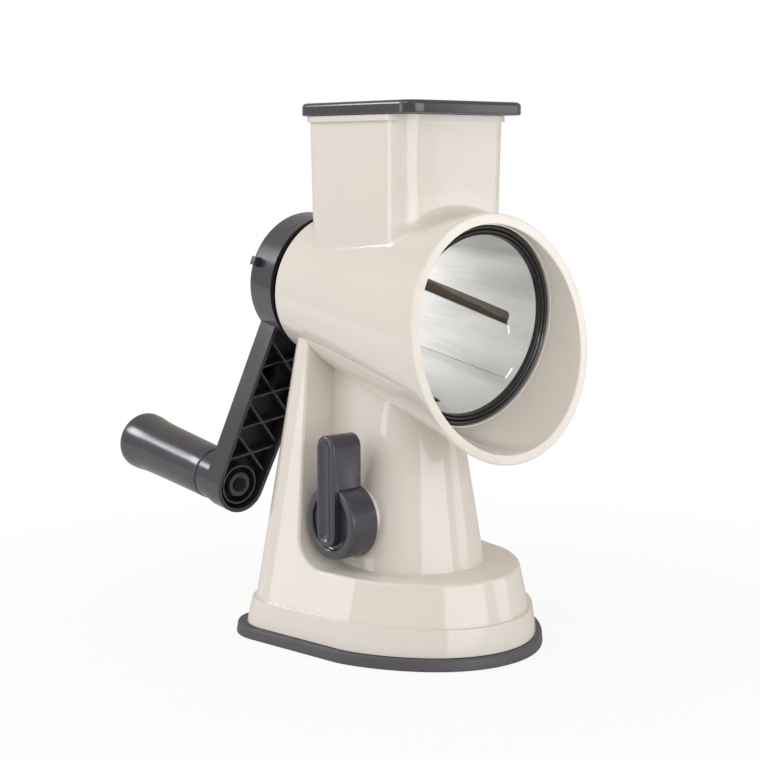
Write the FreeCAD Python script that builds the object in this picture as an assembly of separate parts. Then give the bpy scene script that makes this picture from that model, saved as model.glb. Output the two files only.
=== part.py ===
import FreeCAD, Part
import math
import os
from FreeCAD import Rotation, Placement, Vector

# Rotary drum shredder with a hopper, a hand crank and a suction base.
# Millimetres. +Z is up, the discharge mouth faces -Y and the crank is at +Y.
# The origin is on the table, under the middle of the hopper.
# "Station" is a distance along the drum axis, positive towards the mouth.

# ---------------------------------------------------------------- clearances
GAP = 0.3                 # between bodies that only lie near each other
RUN = 0.05                # radial running clearance of a shaft in its bore
SLIDE = 0.1               # per side, for square and flat sliding fits
PAST = 1.0                # how far a cutter runs past the face that it opens
BURY = 0.5                # how deep a rib or boss is rooted in the wall that carries it
SAME = 0.01               # two measures that differ by less are the same place

# ---------------------------------------------------------------- drum axis
AXIS_HEIGHT = 178.6       # height of the drum axis over the origin
AXIS_TILT = 6.9           # degrees, the mouth end is the low one

# ---------------------------------------------------------------- base plan
NOSE_Y = 83.6             # rounded front end of the foot
SHOULDER_HALF = 67.6      # half width where the front curve starts
SHOULDER_Y = -22.0
SIDE_FLARE = 0.158        # the sides spread towards the rear, mm per mm
REAR_Y = 67.0             # rear end of the foot
REAR_CORNER = 25.0
CORNER_SHRINK = 0.12      # the corners tighten with the inset, mm per mm
SIDE_HANDLE = 12.0        # how long the front curve keeps the side's direction
NOSE_HANDLE = 43.0        # how long it keeps the nose's direction

# ---------------------------------------------------------------- base heights
PAD_THICK = 6.0           # rubber pad's rim
TIER_LOW_TOP = 20.0
TIER_TOP = 42.0
PAD_TO_TIER = 4.0         # the pad stands out this far round the lower tier
TIER_LOW_DRAFT = 2.2
TIER_STEP = 2.6           # ledge between the two tiers
UPPER_LEAN = 0.228        # the upper tier and the column lean in as one, mm per mm of height
SHELL_WALL = 3.0
SHELL_FLOOR = PAD_THICK + GAP
TIER_EDGE_ROUND = 2.0

# ---------------------------------------------------------------- column and pedestal
COLUMN_FRONT_Y = 17.8     # front face of the rear column at the tier's top
COLUMN_FRONT_LEAN = 0.17  # it leans back, mm per mm of height
COLUMN_REAR_Y = 60.5
COLUMN_TOP = 172.0
RECESS_ROUND = 20.0       # sweep from the column's front face into the tier's top
PEDESTAL_REAR_Y = 42.0    # its sides end inside the column
PEDESTAL_HALF = 38.0      # half width of the pedestal at the tier's top
PEDESTAL_TAPER = 0.166    # mm per mm of height
PEDESTAL_NOSE_Y = -8.0    # centre of its round front

# ---------------------------------------------------------------- head
BARREL_REAR = -62.6       # station of the barrel's rear face
BARREL_REAR_R = 40.2
RIM_STATION = 76.0
RIM_R = 60.0
RIM_SLANT = 0.29          # the mouth is cut on a slant, its lower lip further out
RIM_REACH = 1.4 * RIM_SLANT * RIM_R   # the slanted cut lies within this of the rim station
RIM_WALL = 4.2
RIM_FLARE = 0.16          # the funnel inside the mouth, mm per mm
LIP_WIDTH = 5.5           # bead round the mouth
LIP_PROUD = 1.1
RIM_EDGE_ROUND = 1.0      # the mouth's front edges, outside and inside
REAR_WALL = 4.0
CHAMBER_GAP = 3.0         # between the drum and the chamber
SEAT_FRONT = 57.0         # the drum ring runs in a seat that ends here
SEAT_LENGTH = 11.0
BUSH_BOSS_R = 13.0
BUSH_BOSS_DEPTH = 1.9

HOPPER_HALF_X = 37.8      # outside, at the top
HOPPER_HALF_Y = 41.0
HOPPER_CORNER = 12.0
HOPPER_WALL = 2.8
HOPPER_TOP = 278.8
HOPPER_DRAFT = 0.016      # mm per mm, each side
HOPPER_ROOT_ROUND = 6.0   # blend between the hopper and the barrel
COLLAR_HEIGHT = 3.0       # lip round the hopper's top
COLLAR_PROUD = 1.6

# ---------------------------------------------------------------- pusher
PLATE_HALF_X = 40.5
PLATE_FRONT = 51.1        # the plate reaches further forward, as a thumb edge
PLATE_REAR = 42.8
PLATE_CORNER = 10.0
PLATE_THICK = 6.6
PLATE_TOP_ROUND = 2.0
PLUG_GAP = 0.7            # between the plug and the hopper
PLUG_WALL = 2.0
PLUG_OVER_DRUM = 3.0
SPIGOT_DEPTH = 4.0

# ---------------------------------------------------------------- drum
DRUM_FRONT = 52.0         # station of the steel's front edge
DRUM_REAR = -52.0
DRUM_FRONT_R = 47.6       # outside of the steel
DRUM_TAPER = 0.12
SHEET = 0.9
RING_R = 52.2
RING_REAR = 46.5
RING_FRONT = 56.0
RING_GROOVE = 0.8         # groove round its front face
RING_GROOVE_WIDE = 1.2
RING_BEVEL = 1.0
SLOT_COUNT = 4
SLOT_FIRST = 2.8          # degrees round the axis from +X, at the slot's middle
SLOT_MIDDLE = 2.0         # station
SLOT_LENGTH = 66.0
SLOT_WIDTH = 6.5
SLOT_CORNER = 2.4
SLOT_SKEW = 8.6           # degrees between a slot and the drum's side line
HOOD_LENGTH = 72.0        # sheet pressed inwards along one edge of each slot
HOOD_WIDTH = 13.0
HOOD_FLAT = 7.5
HOOD_DEPTH = 3.4
HOOD_CORNER = 5.0
SEAM_ANGLE = -40.0        # lapped seam of the rolled sheet, inside
SEAM_WIDTH = 6.7
SEAM_FRONT = 48.0
SEAM_THICK = 0.8
HUB_THICK = 3.0
HUB_SPIGOT = 6.0          # collar that centres the sheet on the hub
HUB_SPIGOT_WALL = 3.0
HUB_BOSS_R = 11.0
HUB_BOSS_DEPTH = 9.0

# ---------------------------------------------------------------- spindle
SPINDLE_R = 6.0
SQUARE = 8.0              # across flats, both ends
SPINDLE_FRONT = -41.0
SPINDLE_SHOULDER = -69.0
CLIP_STATION = -65.6
SPINDLE_REAR = -88.0
BUSH_R = 8.5
BUSH_FLANGE_R = 11.0
BUSH_FLANGE = 1.5
FLANGE_R = 8.0            # stops the spindle against the bush, inside the chamber
FLANGE = 1.1
CLIP_R = 9.0              # and the clip outside it
CLIP_THICK = 1.0
CLIP_GROOVE = 0.8
CLIP_MOUTH = 7.0

# ---------------------------------------------------------------- crank
CUP_FRONT = -69.3
CUP_REAR = -91.5
CUP_FRONT_R = 38.6
CUP_REAR_R = 37.4
CUP_WALL = 2.4
CUP_BACK = 2.6
CUP_EDGE_ROUND = 2.5
CUP_BOSS_R = 10.0
WEB_THICK = 2.2           # four webs from the cup's wall to its boss
WEB_LOW = 3.0
CRANK_THROW = 124.7
CRANK_ANGLE = 21.2        # degrees from straight down towards -X
ARM_FRONT = -76.0
ARM_REAR = -89.5
ARM_ROOT_HALF = 18.6
ARM_END_R = 15.9
ARM_WALL = 2.2
ARM_BACK = 2.4
RIB_THICK = 1.3
RIB_PITCH = 18.6          # along the arm, between two crossings
RIB_FIRST = 49.7          # first crossing, from the drum axis
RIB_COUNT = 4
RIB_LOW = 2.2             # the ribs stand back from the arm's open edge
ARM_BOSS_R = 7.0
ARM_RING_R = 11.5
ARM_RING_THICK = 1.1
STUB_R = 14.8             # boss on the rear that the grip runs against
STUB_END = -101.0

# ---------------------------------------------------------------- grip
GRIP_GAP = 0.8
GRIP_END = -183.0
GRIP_R = 15.1
GRIP_FAR_R = 16.1
GRIP_WAIST = -162.0
GRIP_FLARE_R = 17.3
GRIP_FLARE = -176.0
GRIP_END_ROUND = 4.0
GRIP_FRONT_ROUND = 0.8
PIN_R = 4.0
PIN_HEAD_R = 7.0
PIN_HEAD = 2.5
PIN_END = -170.0
CAP_R = 9.0
CAP_THICK = 2.5

# ---------------------------------------------------------------- release latch
LATCH_ANGLE = 163.5       # degrees round the axis from +X
LATCH_WIDTH = 4.8
LATCH_THICK = 3.6
LATCH_STATION = -83.2     # its front face
LATCH_TIP = 42.0          # radius of the tip that the finger presses
LATCH_RING_R = 9.5
LATCH_TRAVEL = 2.5
LATCH_ROOM = 1.5          # round the latch's ring between the webs
GROOVE_R = 3.4            # neck of the spindle that the latch holds

# ---------------------------------------------------------------- knob and cam
KNOB_Y = -1.4
KNOB_Z = 67.7
KNOB_FACE_X = 53.5        # front rim of the round body, on the -X side
KNOB_R = 19.8
KNOB_BACK_X = 36.4
KNOB_DISH = 2.4
KNOB_RIM = 5.0
KNOB_EDGE_ROUND = 1.2
PADDLE_FACE_X = 56.5
PADDLE_BACK_X = 37.8
PADDLE_HALF = 7.0
PADDLE_TOP = 46.5         # above the knob's axis
PADDLE_FOOT = 12.7        # below it
TROUGH_R = 6.3            # long hollow along the lever's face
TROUGH_DEPTH = 2.0
KNOB_BOSS_R = 16.0        # hidden behind the knob
KNOB_BOSS_X = 36.0
KNOB_SEAT_R = 20.8        # flat cut in the pedestal that the knob turns in
CAM_SHAFT_R = 5.0
CAM_SHAFT_OUT_X = 50.0    # end of the shaft, inside the knob
CAM_PIN_R = 2.5
CAM_PIN_HALF = 4.5
CAM_THROW = 3.0
CAM_START = -45.0         # degrees from +Y, pin's place with the lever upright
CAM_CHEEK_R = 6.5
CAM_CHEEK = 2.5
JOURNAL_R = 8.5           # moulded tube inside the base that carries the cam shaft

# ---------------------------------------------------------------- suction parts
PAD_RIM_WIDTH = 11.0
PAD_SKIN = 1.8
PAD_DRAFT = 0.6
STEM_R = 4.0
STEM_FOOT_R = 14.0
STEM_FOOT = 1.8
STEM_FOOT_GAP = 1.0       # round the foot in its pocket
YOKE_HALF_X = 4.0
YOKE_HALF_Y = 9.0
YOKE_LOW = 59.5
YOKE_HIGH = 74.5
YOKE_SLOT_HALF = 5.4
GUIDE_R = 7.5
GUIDE_TOP = 27.0
DOME_R = 19.0
PLATE_FLOOR_THICK = 3.0
LOW_PLATE_DRAFT = 0.5     # the plate's edge is set in, for the tier's draft
SCREW_R = 1.8
SCREW_HEAD_R = 3.4
SCREW_HEAD = 1.8
SCREW_SOCKET_R = 1.2
SCREW_SOCKET = 1.0
SCREW_LENGTH = 12.0
SCREW_POST_R = 4.4
HEAD_SCREW_STATIONS = (-30.0, 10.0)
HEAD_SCREW_BITE = 3.5
BASE_SCREWS = ((-57.0, 36.0), (57.0, 36.0), (-40.0, -38.0), (40.0, -38.0))


# ================================================================ helpers
def on_axis_place():
    return Placement(Vector(0, 0, AXIS_HEIGHT), Rotation(Vector(1, 0, 0), 90 + AXIS_TILT))


def on_axis(shape):
    """Move a shape made about local Z (station) and local Y (up) onto the drum axis."""
    shape = shape.copy()
    shape.Placement = on_axis_place().multiply(shape.Placement)
    return shape


def polygon(points):
    return Part.makePolygon([Vector(*p) for p in points] + [Vector(*points[0])])


def lathe(profile):
    """Solid of revolution about local Z from (radius, station) points."""
    face = Part.Face(polygon([(r, 0, s) for r, s in profile]))
    return face.revolve(Vector(0, 0, 0), Vector(0, 0, 1), 360)


def rod(radius, low, high, x=0.0, y=0.0):
    return Part.makeCylinder(radius, high - low, Vector(x, y, low))


def cone(r_low, r_high, low, high):
    return Part.makeCone(r_low, r_high, high - low, Vector(0, 0, low))


def block(x0, x1, y0, y1, z0, z1):
    return Part.makeBox(x1 - x0, y1 - y0, z1 - z0, Vector(x0, y0, z0))


def spun(shape, degrees):
    shape = shape.copy()
    shape.rotate(Vector(0, 0, 0), Vector(0, 0, 1), degrees)
    return shape


def along_x(shape, y, z):
    """Turn a shape made about local Z so that local Z points to -X."""
    shape = shape.copy()
    turn = Rotation(Vector(0, 1, 0), -90)
    shape.Placement = Placement(Vector(0, y, z), turn).multiply(shape.Placement)
    return shape


def fused(shapes):
    return shapes[0].multiFuse(shapes[1:]).removeSplitter()


def rounded(shape, radius, chosen):
    """Round the edges whose middle point satisfies the test."""
    edges = []
    for edge in shape.Edges:
        middle = edge.valueAt((edge.FirstParameter + edge.LastParameter) / 2)
        if chosen(edge, middle):
            edges.append(edge)
    return shape.makeFillet(radius, edges)


def rounded_rectangle(half_x, y_low, y_high, corner, z):
    wire = polygon([(-half_x, y_low, z), (half_x, y_low, z), (half_x, y_high, z), (-half_x, y_high, z)])
    solid = Part.Face(wire).extrude(Vector(0, 0, 1))
    upright = [e for e in solid.Edges if abs(e.Vertexes[0].Z - e.Vertexes[1].Z) > SAME]
    solid = solid.makeFillet(corner, upright)
    low_face = min(solid.Faces, key=lambda f: f.CenterOfMass.z)
    return low_face.OuterWire


def prism(half_x, y_low, y_high, corner, z0, z1):
    low = rounded_rectangle(half_x, y_low, y_high, corner, z0)
    return Part.Face(low).extrude(Vector(0, 0, z1 - z0))


def tapered_box(half_x, half_y, corner, z_low, z_high, draft):
    """Rounded upright box whose half sizes are given at its top."""
    shrink = draft * (z_high - z_low)
    low = rounded_rectangle(half_x - shrink, -half_y + shrink, half_y - shrink, corner, z_low)
    high = rounded_rectangle(half_x, -half_y, half_y, corner, z_high)
    return Part.makeLoft([low, high], True, True)


# ================================================================ base outline
def side_half(y, inset):
    return SHOULDER_HALF + SIDE_FLARE * (y - SHOULDER_Y) - inset


def rear_end(inset, rear_y, front_y, z):
    """Edges from the right side at front_y round the two rear corners to the left side."""
    slope = math.atan(SIDE_FLARE)
    radius = REAR_CORNER - CORNER_SHRINK * inset
    reach = radius / math.tan((math.pi / 2 - slope) / 2)
    start = Vector(side_half(front_y, inset), front_y, z)
    corner = Vector(side_half(rear_y, inset), rear_y, z)
    a = corner + Vector(-math.sin(slope), -math.cos(slope), 0) * reach
    c = corner + Vector(-reach, 0, 0)
    centre = c + Vector(0, -radius, 0)
    outward = corner - centre
    b = centre + outward * (radius / outward.Length)
    left = [Vector(-p.x, p.y, p.z) for p in (start, a, b, c)]
    return [Part.makeLine(start, a), Part.Arc(a, b, c).toShape(), Part.makeLine(c, left[3]),
            Part.Arc(left[3], left[2], left[1]).toShape(), Part.makeLine(left[1], left[0])]


def plan(inset, z, rear_y):
    """Outline of the foot, moved in by inset: round nose, flaring sides, round rear corners."""
    slope = math.atan(SIDE_FLARE)
    ahead = Vector(-math.sin(slope), -math.cos(slope), 0)
    nose = Vector(0, -(NOSE_Y - inset), z)
    shoulder = Vector(side_half(SHOULDER_Y, inset), SHOULDER_Y, z)
    share = shoulder.x / SHOULDER_HALF
    poles = [shoulder, shoulder + ahead * SIDE_HANDLE * share, nose + Vector(NOSE_HANDLE * share, 0, 0), nose]
    right = Part.BezierCurve()
    right.setPoles(poles)
    left = Part.BezierCurve()
    left.setPoles([Vector(-p.x, p.y, p.z) for p in reversed(poles)])
    edges = rear_end(inset, rear_y, SHOULDER_Y, z)
    return Part.Wire(edges + [left.toShape(), right.toShape()])


def plan_solid(inset_low, inset_high, z_low, z_high, rear_low, rear_high):
    return Part.makeLoft([plan(inset_low, z_low, rear_low), plan(inset_high, z_high, rear_high)], True, True)


LOW_INSET = PAD_TO_TIER
LOW_TOP_INSET = LOW_INSET + TIER_LOW_DRAFT
UP_INSET = LOW_TOP_INSET + TIER_STEP
UP_END_INSET = UP_INSET + UPPER_LEAN * (COLUMN_TOP - TIER_LOW_TOP)


def lower_tier(extra, z_low):
    return plan_solid(LOW_INSET + extra, LOW_TOP_INSET + extra, z_low, TIER_LOW_TOP,
                      REAR_Y - LOW_INSET - extra, REAR_Y - LOW_TOP_INSET - extra)


def upper_body(extra, z_low):
    """Upper tier and rear column: one leaning block, hollowed in front by the recess."""
    low_inset = UP_INSET + UPPER_LEAN * (z_low - TIER_LOW_TOP) + extra
    rear = COLUMN_REAR_Y - extra
    body = plan_solid(low_inset, UP_END_INSET + extra, z_low, COLUMN_TOP, rear, rear)
    return body.cut(recess(extra))


def column_front(z):
    return COLUMN_FRONT_Y + COLUMN_FRONT_LEAN * (z - TIER_TOP)


def recess(extra):
    """Space over the tier, swept up into the column's front face."""
    slant = math.hypot(1, COLUMN_FRONT_LEAN)
    middle_z = TIER_TOP + RECESS_ROUND
    middle_y = column_front(middle_z) - RECESS_ROUND * slant
    radius = RECESS_ROUND + extra
    turn = math.atan(COLUMN_FRONT_LEAN)
    half_turn = (math.pi / 2 + turn) / 2

    def on_sweep(angle):
        return Vector(-NOSE_Y, middle_y + radius * math.cos(angle), middle_z + radius * math.sin(angle))

    high = COLUMN_TOP + RECESS_ROUND
    floor = on_sweep(-math.pi / 2)
    face = on_sweep(-turn)
    top = Vector(-NOSE_Y, column_front(high) + extra * slant, high)
    ahead_high = Vector(-NOSE_Y, -2 * NOSE_Y, high)
    ahead_low = Vector(-NOSE_Y, -2 * NOSE_Y, TIER_TOP - extra)
    sweep = Part.Arc(floor, on_sweep(half_turn - turn - math.pi / 2), face).toShape()
    wire = Part.Wire([Part.makeLine(ahead_low, floor), sweep, Part.makeLine(face, top),
                      Part.makeLine(top, ahead_high), Part.makeLine(ahead_high, ahead_low)])
    return Part.Face(wire).extrude(Vector(2 * NOSE_Y, 0, 0))


def pedestal_half(z):
    return PEDESTAL_HALF - PEDESTAL_TAPER * (z - TIER_TOP)


def pedestal_wire(extra, z, rear_y):
    half = pedestal_half(z) - extra
    nose = Vector(0, PEDESTAL_NOSE_Y - half, z)
    right = Vector(half, PEDESTAL_NOSE_Y, z)
    left = Vector(-half, PEDESTAL_NOSE_Y, z)
    back_right = Vector(half, rear_y, z)
    back_left = Vector(-half, rear_y, z)
    return Part.Wire([Part.Arc(left, nose, right).toShape(), Part.makeLine(right, back_right),
                      Part.makeLine(back_right, back_left), Part.makeLine(back_left, left)])


def pedestal(extra, z_low, z_high, rear_y):
    low = pedestal_wire(extra, z_low, rear_y)
    high = pedestal_wire(extra, z_high, rear_y)
    return Part.makeLoft([low, high], True, True)


# ================================================================ drum and barrel cones
BARREL_TAPER = (RIM_R - BARREL_REAR_R) / (RIM_STATION - BARREL_REAR)


def barrel_r(station):
    return BARREL_REAR_R + BARREL_TAPER * (station - BARREL_REAR)


def drum_r(station):
    return DRUM_FRONT_R + DRUM_TAPER * (station - DRUM_FRONT)


def barrel_cone(grow, rear, front):
    return cone(barrel_r(rear) + grow, barrel_r(front) + grow, rear, front)


def beyond_rim(setback):
    """Everything in front of the slanted plane that cuts the mouth."""
    big = 4 * RIM_R
    half_space = Part.makeBox(big, big, big, Vector(-big / 2, -big / 2, 0))
    half_space.rotate(Vector(0, 0, 0), Vector(1, 0, 0), -math.degrees(math.atan(RIM_SLANT)))
    half_space.translate(Vector(0, 0, RIM_STATION - setback))
    return half_space


# ================================================================ head housing
def joins_hopper(edge, middle):
    """True for the edges where the hopper runs into the barrel."""
    local = on_axis_place().inverse().multVec(middle)
    on_barrel = abs(math.hypot(local.x, local.y) - barrel_r(local.z)) < 5 * SAME
    return on_barrel and abs(middle.x) < HOPPER_HALF_X and abs(middle.y) < HOPPER_HALF_Y and local.y > 0


def on_rim(edge, middle):
    """True for the edges of the mouth's slanted front face."""
    local = on_axis_place().inverse().multVec(middle)
    return abs(local.z + RIM_SLANT * local.y - RIM_STATION) < SAME and edge.Length > 2 * RIM_R


def head_housing():
    far = RIM_STATION + RIM_REACH
    outer = barrel_cone(0, BARREL_REAR, far)
    lip = barrel_cone(LIP_PROUD, 0, far).cut(beyond_rim(0)).common(beyond_rim(LIP_WIDTH))
    hopper = tapered_box(HOPPER_HALF_X, HOPPER_HALF_Y, HOPPER_CORNER, AXIS_HEIGHT, HOPPER_TOP, HOPPER_DRAFT)
    outer = rounded(fused([on_axis(outer.cut(beyond_rim(0))), hopper]), HOPPER_ROOT_ROUND, joins_hopper)
    lip = on_axis(lip)
    collar = prism(HOPPER_HALF_X + COLLAR_PROUD, -HOPPER_HALF_Y - COLLAR_PROUD, HOPPER_HALF_Y + COLLAR_PROUD,
                   HOPPER_CORNER + COLLAR_PROUD, HOPPER_TOP - COLLAR_HEIGHT, HOPPER_TOP)
    outer = fused([outer, lip, collar])

    chamber_rear = BARREL_REAR + REAR_WALL
    seat_rear = SEAT_FRONT - SEAT_LENGTH
    seat_r = RING_R + GAP
    front_r = RIM_R - RIM_WALL + RIM_FLARE * (far - RIM_STATION)
    mouth_r = RIM_R - RIM_WALL + RIM_FLARE * (SEAT_FRONT - RIM_STATION)
    hollow = fused([
        cone(drum_r(chamber_rear) + CHAMBER_GAP, drum_r(seat_rear) + CHAMBER_GAP, chamber_rear, seat_rear),
        rod(seat_r, seat_rear, SEAT_FRONT),
        cone(max(mouth_r, seat_r), front_r, SEAT_FRONT, far),
    ])
    boss = rod(BUSH_BOSS_R, chamber_rear, chamber_rear + BUSH_BOSS_DEPTH)
    bore = rod(BUSH_R + RUN, BARREL_REAR, chamber_rear + BUSH_BOSS_DEPTH)
    shaft_side = on_axis(hollow.cut(boss).fuse(bore))
    inside = tapered_box(HOPPER_HALF_X - HOPPER_WALL, HOPPER_HALF_Y - HOPPER_WALL,
                         HOPPER_CORNER - HOPPER_WALL, AXIS_HEIGHT, HOPPER_TOP + PAST, HOPPER_DRAFT)
    housing = rounded(outer.cut(shaft_side), RIM_EDGE_ROUND, on_rim)
    return housing.cut(inside).cut(on_axis(head_screw_rods(SCREW_R + RUN)))


# ================================================================ base shell
def head_screw_rods(radius, beyond=0.0):
    """Two rods through the saddle into the barrel's underside, beyond the saddle's inner face."""
    rods = []
    for station in HEAD_SCREW_STATIONS:
        top = barrel_r(station) - HEAD_SCREW_BITE
        low = barrel_r(station) + SHELL_WALL + beyond
        rods.append(Part.makeCylinder(radius, low - top, Vector(0, -low, station), Vector(0, 1, 0)))
    return Part.makeCompound(rods)


def knob_side(radius, low, high):
    """Rod on the knob's axis, between two distances from the middle plane."""
    return along_x(rod(radius, low, high), KNOB_Y, KNOB_Z)


def base_shell():
    def recess_edge(edge, middle):
        ahead = middle.y < column_front(middle.z) + SHELL_WALL / 2
        return middle.z > TIER_TOP - SAME and ahead and abs(middle.x) > SHELL_WALL

    body = rounded(upper_body(0, TIER_LOW_TOP), TIER_EDGE_ROUND, recess_edge)
    root = TIER_TOP - SHELL_WALL / 2
    front = pedestal(0, root, COLUMN_TOP, PEDESTAL_REAR_Y)
    boss = knob_side(KNOB_BOSS_R, 0, KNOB_BOSS_X)
    outer = fused([lower_tier(0, SHELL_FLOOR), body, front, boss])

    wall = SHELL_WALL
    inner_front = pedestal(wall, root - wall, COLUMN_TOP, PEDESTAL_REAR_Y)
    inner = fused([lower_tier(wall, SHELL_FLOOR - wall), upper_body(wall, TIER_LOW_TOP - wall), inner_front])
    inner = inner.cut(on_axis(barrel_cone(wall, BARREL_REAR - REAR_WALL, RIM_STATION)))
    inner = inner.cut(knob_side(JOURNAL_R, CAM_PIN_HALF + CAM_CHEEK + GAP, KNOB_BOSS_X))
    for x, y in BASE_SCREWS:
        inner = inner.cut(rod(SCREW_POST_R, SHELL_FLOOR + PLATE_FLOOR_THICK, TIER_TOP, x, y))
    shell = outer.cut(inner)
    shell = shell.cut(on_axis(barrel_cone(0, BARREL_REAR - REAR_WALL, RIM_STATION)))
    shell = shell.cut(knob_side(CAM_SHAFT_R + RUN, 0, KNOB_BOSS_X + wall))
    shell = shell.cut(knob_side(KNOB_SEAT_R, KNOB_BOSS_X, KNOB_FACE_X))
    for x, y in BASE_SCREWS:
        shell = shell.cut(rod(SCREW_R + RUN, SHELL_FLOOR, SHELL_FLOOR + SCREW_LENGTH, x, y))
    return shell.cut(on_axis(head_screw_rods(SCREW_R + RUN, SHELL_WALL)))


# ================================================================ suction parts
def suction_pad():
    rim = plan_solid(0, PAD_DRAFT, 0, PAD_THICK, REAR_Y, REAR_Y - PAD_DRAFT)
    width = PAD_RIM_WIDTH
    hollow = plan_solid(width, width, PAD_SKIN, PAD_THICK, REAR_Y - width, REAR_Y - width)
    return rim.cut(hollow)


def base_plate():
    inset = LOW_INSET + SHELL_WALL + GAP + LOW_PLATE_DRAFT
    low = SHELL_FLOOR
    high = low + PLATE_FLOOR_THICK
    sheet = plan_solid(inset, inset, low, high, REAR_Y - inset, REAR_Y - inset)
    dome = rod(DOME_R, low, high + PLATE_FLOOR_THICK)
    guide = rod(GUIDE_R, high, GUIDE_TOP)
    plate = fused([sheet, dome, guide])
    plate = plate.cut(rod(STEM_FOOT_R + STEM_FOOT_GAP, low, high))
    plate = plate.cut(rod(STEM_R + RUN, low, GUIDE_TOP))
    for x, y in BASE_SCREWS:
        plate = plate.cut(rod(SCREW_R + SLIDE, low, high, x, y))
        plate = plate.cut(rod(SCREW_HEAD_R + GAP, low, low + SCREW_HEAD, x, y))
    return plate


def base_screws():
    head_low = SHELL_FLOOR
    head_high = head_low + SCREW_HEAD
    screws = []
    for x, y in BASE_SCREWS:
        head = rod(SCREW_HEAD_R, head_low, head_high, x, y)
        socket = rod(SCREW_SOCKET_R, head_low, head_low + SCREW_SOCKET, x, y)
        shank = rod(SCREW_R, head_low, SHELL_FLOOR + SCREW_LENGTH, x, y)
        screws.append(fused([head, shank]).cut(socket))
    return Part.makeCompound(screws)


def head_screws():
    heads = []
    for station in HEAD_SCREW_STATIONS:
        seat = barrel_r(station) + SHELL_WALL
        slope = BARREL_TAPER * SCREW_HEAD_R
        up = Vector(0, 1, 0)
        head = Part.makeCylinder(SCREW_HEAD_R, SCREW_HEAD, Vector(0, -seat - slope - SCREW_HEAD, station), up)
        neck = Part.makeCylinder(SCREW_R, slope, Vector(0, -seat - slope, station), up)
        heads.append(head)
        heads.append(neck)
    shanks = head_screw_rods(SCREW_R).Solids
    screws = []
    for i in range(len(HEAD_SCREW_STATIONS)):
        screws.append(fused([heads[2 * i], heads[2 * i + 1], shanks[i]]))
    return on_axis(Part.makeCompound(screws))


def suction_stem():
    low = PAD_SKIN + GAP
    foot = rod(STEM_FOOT_R, low, low + STEM_FOOT)
    shank = rod(STEM_R, low, YOKE_LOW + PAST)
    yoke = block(-YOKE_HALF_X, YOKE_HALF_X, KNOB_Y - YOKE_HALF_Y, KNOB_Y + YOKE_HALF_Y, YOKE_LOW, YOKE_HIGH)
    pin_z = KNOB_Z + CAM_THROW * math.sin(math.radians(CAM_START))
    reach = CAM_PIN_R + GAP
    slot = block(-YOKE_HALF_X - PAST, YOKE_HALF_X + PAST,
                 KNOB_Y - YOKE_SLOT_HALF, KNOB_Y + YOKE_SLOT_HALF + PAST, pin_z - reach, pin_z + reach)
    return fused([foot, shank, yoke]).cut(slot)


# ================================================================ knob
def cam_shaft():
    """Two journals with an eccentric pin between their cheeks, along X."""
    cheek_far = CAM_PIN_HALF + CAM_CHEEK
    shaft = rod(CAM_SHAFT_R, CAM_PIN_HALF, CAM_SHAFT_OUT_X)
    cheek = rod(CAM_CHEEK_R, CAM_PIN_HALF, cheek_far)
    angle = math.radians(CAM_START)
    pin_y = CAM_THROW * math.cos(angle)
    pin_z = CAM_THROW * math.sin(angle)
    pin = rod(CAM_PIN_R, -CAM_PIN_HALF, CAM_PIN_HALF, pin_z, pin_y)
    return along_x(fused([shaft, cheek, pin]), KNOB_Y, KNOB_Z)


def trough(foot, head):
    """Round hollow with round ends along the lever's face."""
    middle = PADDLE_FACE_X + TROUGH_R - TROUGH_DEPTH
    bar = Part.makeCylinder(TROUGH_R, head - foot, Vector(foot, 0, middle), Vector(1, 0, 0))
    ends = [Part.makeSphere(TROUGH_R, Vector(x, 0, middle)) for x in (foot, head)]
    return fused([bar] + ends)


def knob():
    body = rod(KNOB_R, KNOB_BACK_X, KNOB_FACE_X)
    body = rounded(body, KNOB_EDGE_ROUND, lambda e, m: abs(m.z - KNOB_FACE_X) < SAME)
    dish = rod(KNOB_R - KNOB_RIM, KNOB_FACE_X - KNOB_DISH, KNOB_FACE_X + PAST)
    body = body.cut(dish)
    foot = PADDLE_HALF - PADDLE_FOOT
    head = PADDLE_TOP - PADDLE_HALF
    paddle = fused([
        rod(PADDLE_HALF, PADDLE_BACK_X, PADDLE_FACE_X, head),
        rod(PADDLE_HALF, PADDLE_BACK_X, PADDLE_FACE_X, foot),
        block(foot, head, -PADDLE_HALF, PADDLE_HALF, PADDLE_BACK_X, PADDLE_FACE_X),
    ])
    paddle = rounded(paddle, KNOB_EDGE_ROUND, lambda e, m: abs(m.z - PADDLE_FACE_X) < SAME)
    shape = fused([body, paddle.cut(trough(foot, head))])
    socket = rod(CAM_SHAFT_R + RUN, KNOB_BACK_X - PAST, CAM_SHAFT_OUT_X)
    return along_x(shape.cut(socket), KNOB_Y, KNOB_Z)


# ================================================================ drum
def skewed(shape):
    """Lay a bar made over the drum's +X side along its taper and its slight twist."""
    shape = shape.copy()
    taper = math.degrees(math.atan(DRUM_TAPER))
    shape.rotate(Vector(drum_r(SLOT_MIDDLE), 0, SLOT_MIDDLE), Vector(0, 1, 0), taper)
    shape.rotate(Vector(0, 0, SLOT_MIDDLE), Vector(1, 0, 0), SLOT_SKEW)
    return shape


def radial_bar(low_y, high_y, length, corner, depth):
    """Bar through the drum's wall with rounded corners, seen along the radius."""
    r = drum_r(SLOT_MIDDLE)
    bar = block(r - depth, r + depth, low_y, high_y, SLOT_MIDDLE - length / 2, SLOT_MIDDLE + length / 2)
    return rounded(bar, corner, lambda e, m: abs(m.x - r) < SAME)


def slot_cutter():
    half = SLOT_WIDTH / 2
    return skewed(radial_bar(-half - SHEET, half, SLOT_LENGTH, SLOT_CORNER, 2 * HOOD_DEPTH))


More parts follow.
